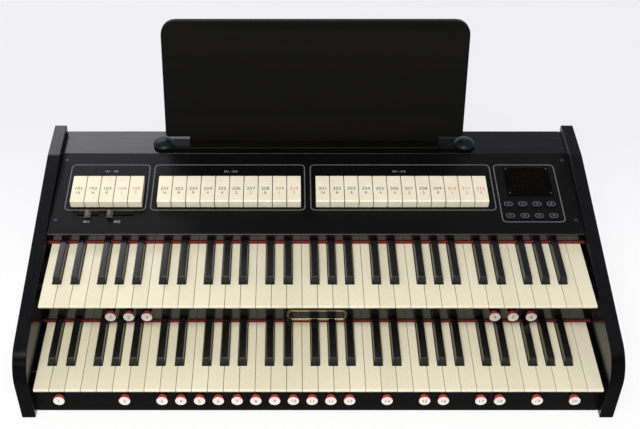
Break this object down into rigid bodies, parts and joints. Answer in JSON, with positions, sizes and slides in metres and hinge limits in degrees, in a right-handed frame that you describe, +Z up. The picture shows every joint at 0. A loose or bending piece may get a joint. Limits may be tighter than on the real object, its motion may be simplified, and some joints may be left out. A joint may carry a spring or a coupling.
{
  "type": "electronic organ",
  "caption": "Tabletop electronic organ with stacked keyboards, a sloping panel of stop tabs, thumb pistons below the keys and a leaning music desk.",
  "frame": {"origin": "centre of the overall box, on the plane that the rubber feet stand on", "axes": "+X to the player's right along the keys, +Y away from the player, +Z up"},
  "size_m": [0.9, 0.5156, 0.3956],
  "materials": {
    "black_lacquer": "semi-gloss black lacquer over wood grain",
    "black_sheet": "satin black paint",
    "black_board": "satin black paint on board",
    "ivory_plastic": "semi-gloss ivory",
    "ebony_plastic": "semi-gloss black",
    "piston_plastic": "semi-gloss off-white",
    "tab_plastic": "satin cream",
    "red_felt": "dark red felt",
    "zinc_steel": "zinc-plated sheet",
    "brass": "polished",
    "circuit_board": "green solder mask",
    "black_plastic": "satin black",
    "grey_plastic": "satin dark grey",
    "smoked_window": "polished smoked acrylic",
    "black_rubber": "matt black"
  },
  "bodies": {
    "case": {"left_cheek": "black_lacquer", "right_cheek": "black_lacquer", "bottom_panel": "black_board", "front_left_foot": "black_rubber", "front_right_foot": "black_rubber", "rear_left_foot": "black_rubber", "rear_right_foot": "black_rubber", "rear_panel": "black_board", "top_deck": "black_lacquer", "front_rail": "black_board", "middle_rail": "black_board", "nameboard": "black_lacquer", "name_plate": "brass", "lower_felt": "red_felt", "upper_felt": "red_felt", "lower_key_frame": "zinc_steel", "upper_key_frame": "zinc_steel", "lower_contact_board": "circuit_board", "upper_contact_board": "circuit_board", "stop_rail": "zinc_steel", "control_panel": "black_sheet", "display_window": "smoked_window", "mains_inlet": "black_plastic", "socket_block": "black_plastic", "main_board": "circuit_board", "power_supply": "zinc_steel"},
    "music_desk": {"desk_board": "black_lacquer", "desk_ledge": "black_lacquer", "desk_bracket": "black_plastic"},
    "lower_low_cegb": {"lower_low_cegb": "ivory_plastic"},
    "lower_low_dfa": {"lower_low_dfa": "ivory_plastic"},
    "lower_low_sharps": {"lower_low_sharps": "ebony_plastic"},
    "lower_middle_cegb": {"lower_middle_cegb": "ivory_plastic"},
    "lower_middle_dfa": {"lower_middle_dfa": "ivory_plastic"},
    "lower_middle_sharps": {"lower_middle_sharps": "ebony_plastic"},
    "lower_high_cegb": {"lower_high_cegb": "ivory_plastic"},
    "lower_high_dfa": {"lower_high_dfa": "ivory_plastic"},
    "lower_high_sharps": {"lower_high_sharps": "ebony_plastic"},
    "upper_low_cegb": {"upper_low_cegb": "ivory_plastic"},
    "upper_low_dfa": {"upper_low_dfa": "ivory_plastic"},
    "upper_low_sharps": {"upper_low_sharps": "ebony_plastic"},
    "upper_middle_cegb": {"upper_middle_cegb": "ivory_plastic"},
    "upper_middle_dfa": {"upper_middle_dfa": "ivory_plastic"},
    "upper_middle_sharps": {"upper_middle_sharps": "ebony_plastic"},
    "upper_high_cegb": {"upper_high_cegb": "ivory_plastic"},
    "upper_high_dfa": {"upper_high_dfa": "ivory_plastic"},
    "upper_high_sharps": {"upper_high_sharps": "ebony_plastic"},
    "pedal_tabs": {"pedal_tabs": "tab_plastic"},
    "manual_1_stop_tabs": {"manual_1_stop_tabs": "tab_plastic"},
    "manual_1_coupler_tabs": {"manual_1_coupler_tabs": "tab_plastic"},
    "manual_2_stop_tabs": {"manual_2_stop_tabs": "tab_plastic"},
    "manual_2_coupler_tabs": {"manual_2_coupler_tabs": "tab_plastic"},
    "front_pistons": {"front_pistons": "piston_plastic"},
    "middle_pistons": {"middle_pistons": "piston_plastic"},
    "display_buttons": {"display_buttons": "grey_plastic"},
    "left_slider": {"left_slider": "black_plastic"},
    "right_slider": {"right_slider": "black_plastic"},
    "power_switch": {"power_switch": "black_plastic"},
    "left_desk_knob": {"left_desk_knob": "black_plastic"},
    "right_desk_knob": {"right_desk_knob": "black_plastic"}
  },
  "joints": [
    {"name": "lower_low_cegb_dip", "type": "hinge", "parent": "case", "child": "lower_low_cegb", "pos_m": [0, -0.04276, 0.0652], "axis": [1, 0, 0], "range_deg": [0, 2.6], "stiffness_Nm_per_rad": 2, "springref_deg": -22.92},
    {"name": "lower_low_dfa_dip", "type": "hinge", "parent": "case", "child": "lower_low_dfa", "pos_m": [0, -0.04276, 0.0652], "axis": [1, 0, 0], "range_deg": [0, 2.6], "stiffness_Nm_per_rad": 2, "springref_deg": -22.92},
    {"name": "lower_low_sharps_dip", "type": "hinge", "parent": "case", "child": "lower_low_sharps", "pos_m": [0, -0.04276, 0.0652], "axis": [1, 0, 0], "range_deg": [0, 2.6], "stiffness_Nm_per_rad": 2, "springref_deg": -22.92},
    {"name": "lower_middle_cegb_dip", "type": "hinge", "parent": "case", "child": "lower_middle_cegb", "pos_m": [0, -0.04276, 0.0652], "axis": [1, 0, 0], "range_deg": [0, 2.6], "stiffness_Nm_per_rad": 2, "springref_deg": -22.92},
    {"name": "lower_middle_dfa_dip", "type": "hinge", "parent": "case", "child": "lower_middle_dfa", "pos_m": [0, -0.04276, 0.0652], "axis": [1, 0, 0], "range_deg": [0, 2.6], "stiffness_Nm_per_rad": 2, "springref_deg": -22.92},
    {"name": "lower_middle_sharps_dip", "type": "hinge", "parent": "case", "child": "lower_middle_sharps", "pos_m": [0, -0.04276, 0.0652], "axis": [1, 0, 0], "range_deg": [0, 2.6], "stiffness_Nm_per_rad": 2, "springref_deg": -22.92},
    {"name": "lower_high_cegb_dip", "type": "hinge", "parent": "case", "child": "lower_high_cegb", "pos_m": [0, -0.04276, 0.0652], "axis": [1, 0, 0], "range_deg": [0, 2.6], "stiffness_Nm_per_rad": 1.2, "springref_deg": -22.92},
    {"name": "lower_high_dfa_dip", "type": "hinge", "parent": "case", "child": "lower_high_dfa", "pos_m": [0, -0.04276, 0.0652], "axis": [1, 0, 0], "range_deg": [0, 2.6], "stiffness_Nm_per_rad": 1.2, "springref_deg": -22.92},
    {"name": "lower_high_sharps_dip", "type": "hinge", "parent": "case", "child": "lower_high_sharps", "pos_m": [0, -0.04276, 0.0652], "axis": [1, 0, 0], "range_deg": [0, 2.6], "stiffness_Nm_per_rad": 1.2, "springref_deg": -22.92},
    {"name": "upper_low_cegb_dip", "type": "hinge", "parent": "case", "child": "upper_low_cegb", "pos_m": [0, 0.06224, 0.1342], "axis": [1, 0, 0], "range_deg": [0, 2.6], "stiffness_Nm_per_rad": 2, "springref_deg": -22.92},
    {"name": "upper_low_dfa_dip", "type": "hinge", "parent": "case", "child": "upper_low_dfa", "pos_m": [0, 0.06224, 0.1342], "axis": [1, 0, 0], "range_deg": [0, 2.6], "stiffness_Nm_per_rad": 2, "springref_deg": -22.92},
    {"name": "upper_low_sharps_dip", "type": "hinge", "parent": "case", "child": "upper_low_sharps", "pos_m": [0, 0.06224, 0.1342], "axis": [1, 0, 0], "range_deg": [0, 2.6], "stiffness_Nm_per_rad": 2, "springref_deg": -22.92},
    {"name": "upper_middle_cegb_dip", "type": "hinge", "parent": "case", "child": "upper_middle_cegb", "pos_m": [0, 0.06224, 0.1342], "axis": [1, 0, 0], "range_deg": [0, 2.6], "stiffness_Nm_per_rad": 2, "springref_deg": -22.92},
    {"name": "upper_middle_dfa_dip", "type": "hinge", "parent": "case", "child": "upper_middle_dfa", "pos_m": [0, 0.06224, 0.1342], "axis": [1, 0, 0], "range_deg": [0, 2.6], "stiffness_Nm_per_rad": 2, "springref_deg": -22.92},
    {"name": "upper_middle_sharps_dip", "type": "hinge", "parent": "case", "child": "upper_middle_sharps", "pos_m": [0, 0.06224, 0.1342], "axis": [1, 0, 0], "range_deg": [0, 2.6], "stiffness_Nm_per_rad": 2, "springref_deg": -22.92},
    {"name": "upper_high_cegb_dip", "type": "hinge", "parent": "case", "child": "upper_high_cegb", "pos_m": [0, 0.06224, 0.1342], "axis": [1, 0, 0], "range_deg": [0, 2.6], "stiffness_Nm_per_rad": 1.2, "springref_deg": -22.92},
    {"name": "upper_high_dfa_dip", "type": "hinge", "parent": "case", "child": "upper_high_dfa", "pos_m": [0, 0.06224, 0.1342], "axis": [1, 0, 0], "range_deg": [0, 2.6], "stiffness_Nm_per_rad": 1.2, "springref_deg": -22.92},
    {"name": "upper_high_sharps_dip", "type": "hinge", "parent": "case", "child": "upper_high_sharps", "pos_m": [0, 0.06224, 0.1342], "axis": [1, 0, 0], "range_deg": [0, 2.6], "stiffness_Nm_per_rad": 1.2, "springref_deg": -22.92},
    {"name": "pedal_tabs_rock", "type": "hinge", "parent": "case", "child": "pedal_tabs", "pos_m": [0, 0.10365, 0.16811], "axis": [1, 0, 0], "range_deg": [0, 4.5], "stiffness_Nm_per_rad": 0.4, "springref_deg": -28.65},
    {"name": "manual_1_stop_tabs_rock", "type": "hinge", "parent": "case", "child": "manual_1_stop_tabs", "pos_m": [0, 0.10365, 0.16811], "axis": [1, 0, 0], "range_deg": [0, 4.5], "stiffness_Nm_per_rad": 0.5, "springref_deg": -28.65},
    {"name": "manual_1_coupler_tabs_rock", "type": "hinge", "parent": "case", "child": "manual_1_coupler_tabs", "pos_m": [0, 0.10365, 0.16811], "axis": [1, 0, 0], "range_deg": [0, 4.5], "stiffness_Nm_per_rad": 0.25, "springref_deg": -28.65},
    {"name": "manual_2_stop_tabs_rock", "type": "hinge", "parent": "case", "child": "manual_2_stop_tabs", "pos_m": [0, 0.10365, 0.16811], "axis": [1, 0, 0], "range_deg": [0, 4.5], "stiffness_Nm_per_rad": 0.5, "springref_deg": -28.65},
    {"name": "manual_2_coupler_tabs_rock", "type": "hinge", "parent": "case", "child": "manual_2_coupler_tabs", "pos_m": [0, 0.10365, 0.16811], "axis": [1, 0, 0], "range_deg": [0, 4.5], "stiffness_Nm_per_rad": 0.25, "springref_deg": -28.65},
    {"name": "front_pistons_travel", "type": "slide", "parent": "case", "child": "front_pistons", "axis": [0, 1, 0], "range_m": [0, 0.0025], "stiffness_N_per_m": 600, "springref_m": -0.002},
    {"name": "middle_pistons_travel", "type": "slide", "parent": "case", "child": "middle_pistons", "axis": [0, 1, 0], "range_m": [0, 0.0025], "stiffness_N_per_m": 600, "springref_m": -0.002},
    {"name": "display_buttons_travel", "type": "slide", "parent": "case", "child": "display_buttons", "axis": [0, 0.0853, -0.9964], "range_m": [0, 0.0008], "stiffness_N_per_m": 500, "springref_m": -0.002},
    {"name": "left_slider_travel", "type": "slide", "parent": "case", "child": "left_slider", "axis": [1, 0, 0], "range_m": [-0.0128, 0.0144]},
    {"name": "right_slider_travel", "type": "slide", "parent": "case", "child": "right_slider", "axis": [1, 0, 0], "range_m": [-0.0045, 0.0347]},
    {"name": "power_switch_rock", "type": "hinge", "parent": "case", "child": "power_switch", "pos_m": [0.285, 0.23074, 0.06], "axis": [1, 0, 0], "range_deg": [0, 12]},
    {"name": "music_desk_lift", "type": "slide", "parent": "case", "child": "music_desk", "axis": [0, 0, 1], "range_m": [0, 0.25]},
    {"name": "left_desk_knob_turn", "type": "hinge", "parent": "music_desk", "child": "left_desk_knob", "pos_m": [-0.258, 0.19824, 0.1806], "axis": [0, 0, 1], "continuous": true},
    {"name": "right_desk_knob_turn", "type": "hinge", "parent": "music_desk", "child": "right_desk_knob", "pos_m": [0.258, 0.19824, 0.1806], "axis": [0, 0, 1], "continuous": true}
  ]
}
